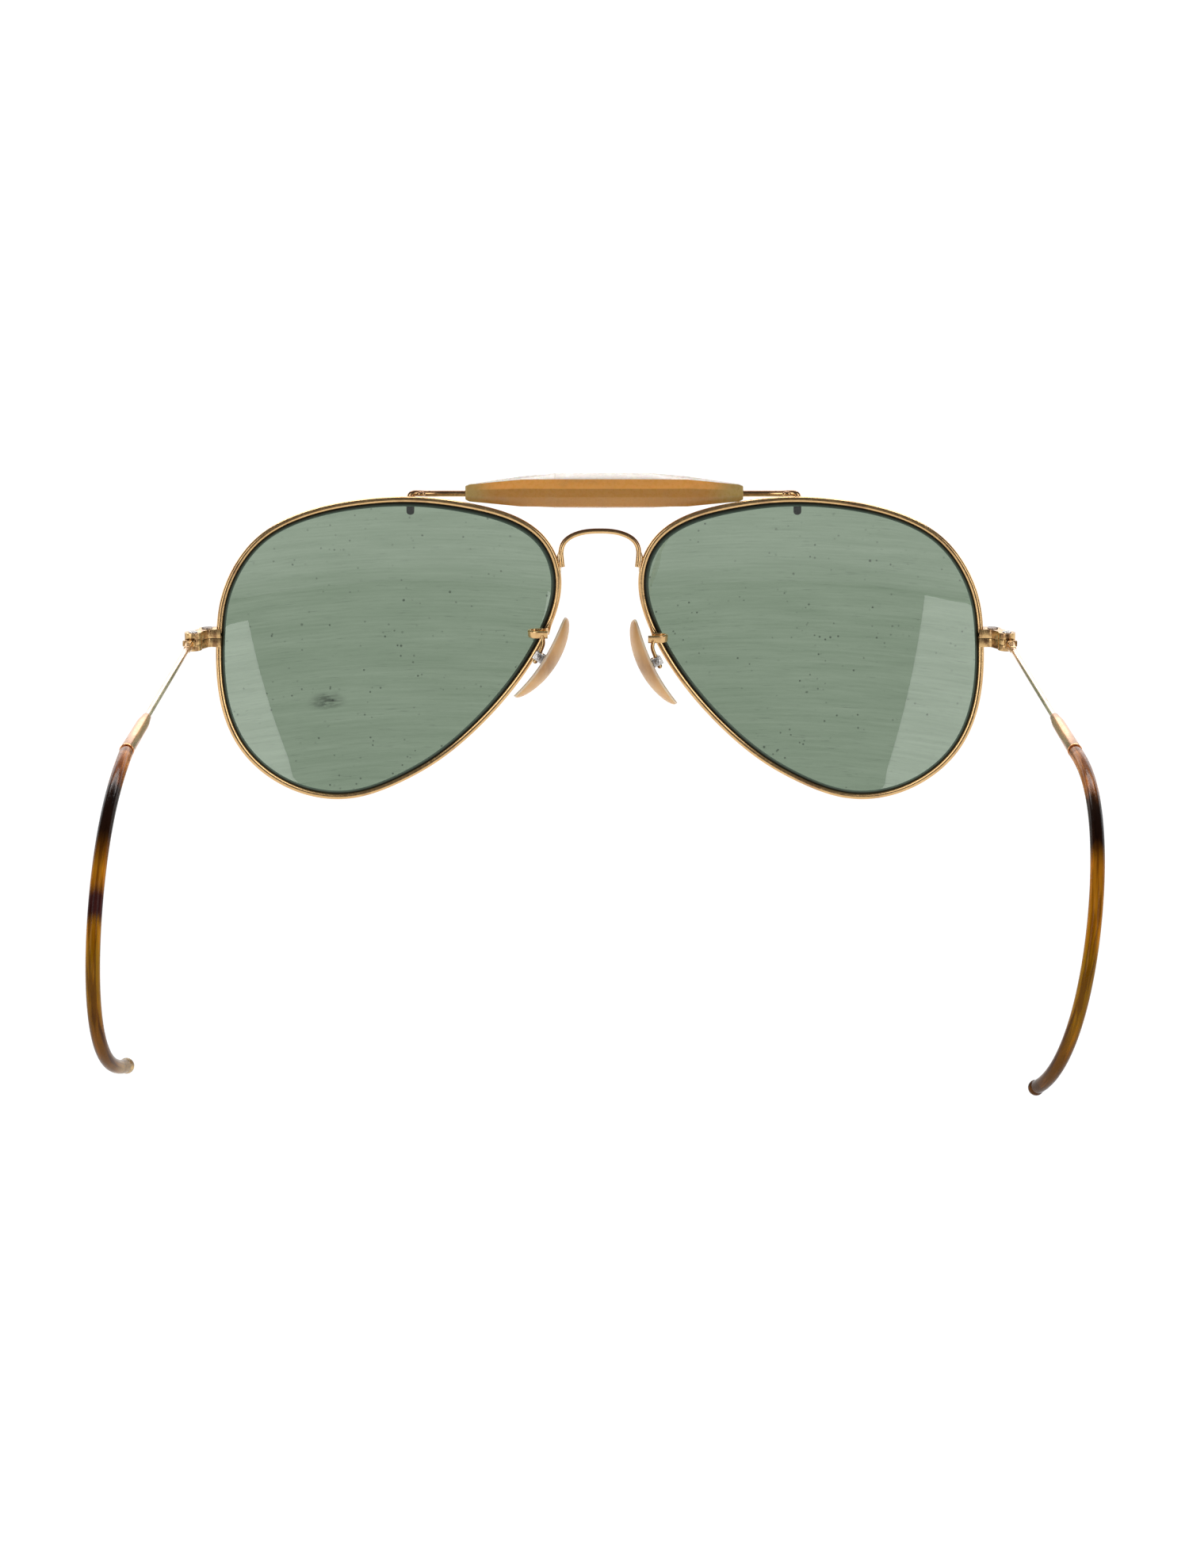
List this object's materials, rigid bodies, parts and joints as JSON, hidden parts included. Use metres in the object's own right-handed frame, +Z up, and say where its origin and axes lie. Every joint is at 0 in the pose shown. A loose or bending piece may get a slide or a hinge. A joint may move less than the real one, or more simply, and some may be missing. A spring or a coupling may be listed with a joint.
{
  "type": "aviator sunglasses",
  "caption": "Metal aviator sunglasses with teardrop glass lenses, a wire bridge, a plastic brow bar, rocking nose pads and folding cable temples that hook round the ears.",
  "frame": {"origin": "middle of the footprint, on the surface that the rims and the ear hooks stand on", "axes": "+X to the wearer's left across the front, +Y back towards the ear hooks, +Z up"},
  "size_m": [0.144, 0.1342, 0.0519],
  "materials": {
    "gold": "polished gold-coloured plating, lightly worn",
    "lens_glass": "grey-green tinted, polished",
    "brow_plastic": "polished translucent amber",
    "pad_plastic": "satin translucent cream",
    "tortoise_plastic": "polished mottled tortoiseshell colours",
    "steel": "plain screws and pad boxes"
  },
  "bodies": {
    "front": {"bridge": "gold", "brow_wire": "gold", "brow_bar": "brow_plastic", "rim_left": "gold", "lens_left": "lens_glass", "end_block_upper_left": "gold", "end_block_lower_left": "gold", "rim_screw_left": "steel", "hinge_screw_left": "steel", "pad_arm_left": "gold", "rim_right": "gold", "lens_right": "lens_glass", "end_block_upper_right": "gold", "end_block_lower_right": "gold", "rim_screw_right": "steel", "hinge_screw_right": "steel", "pad_arm_right": "gold"},
    "temple_left": {"temple_knuckle_left": "gold", "temple_wire_left": "gold", "temple_sleeve_left": "gold", "cable_core_left": "steel", "cable_cover_left": "tortoise_plastic", "cable_tip_left": "tortoise_plastic"},
    "temple_right": {"temple_knuckle_right": "gold", "temple_wire_right": "gold", "temple_sleeve_right": "gold", "cable_core_right": "steel", "cable_cover_right": "tortoise_plastic", "cable_tip_right": "tortoise_plastic"},
    "nose_pad_left": {"nose_pad_left": "pad_plastic", "pad_box_left": "steel", "pad_screw_left": "steel"},
    "nose_pad_right": {"nose_pad_right": "pad_plastic", "pad_box_right": "steel", "pad_screw_right": "steel"}
  },
  "joints": [
    {"name": "temple_left_fold", "type": "hinge", "parent": "front", "child": "temple_left", "pos_m": [0.06889, -0.04535, 0.02849], "axis": [0, -0.1881, 0.9822], "range_deg": [0, 75]},
    {"name": "temple_right_fold", "type": "hinge", "parent": "front", "child": "temple_right", "pos_m": [-0.07011, -0.04535, 0.02849], "axis": [0, 0.1881, -0.9822], "range_deg": [0, 82]},
    {"name": "nose_pad_left_rock", "type": "hinge", "parent": "front", "child": "nose_pad_left", "pos_m": [0.00989, -0.04795, 0.02453], "axis": [0.1754, 0.9397, 0.2937], "range_deg": [-10, 10]},
    {"name": "nose_pad_right_rock", "type": "hinge", "parent": "front", "child": "nose_pad_right", "pos_m": [-0.01041, -0.0478, 0.02374], "axis": [-0.1869, 0.9436, 0.2735], "range_deg": [-10, 10]}
  ]
}
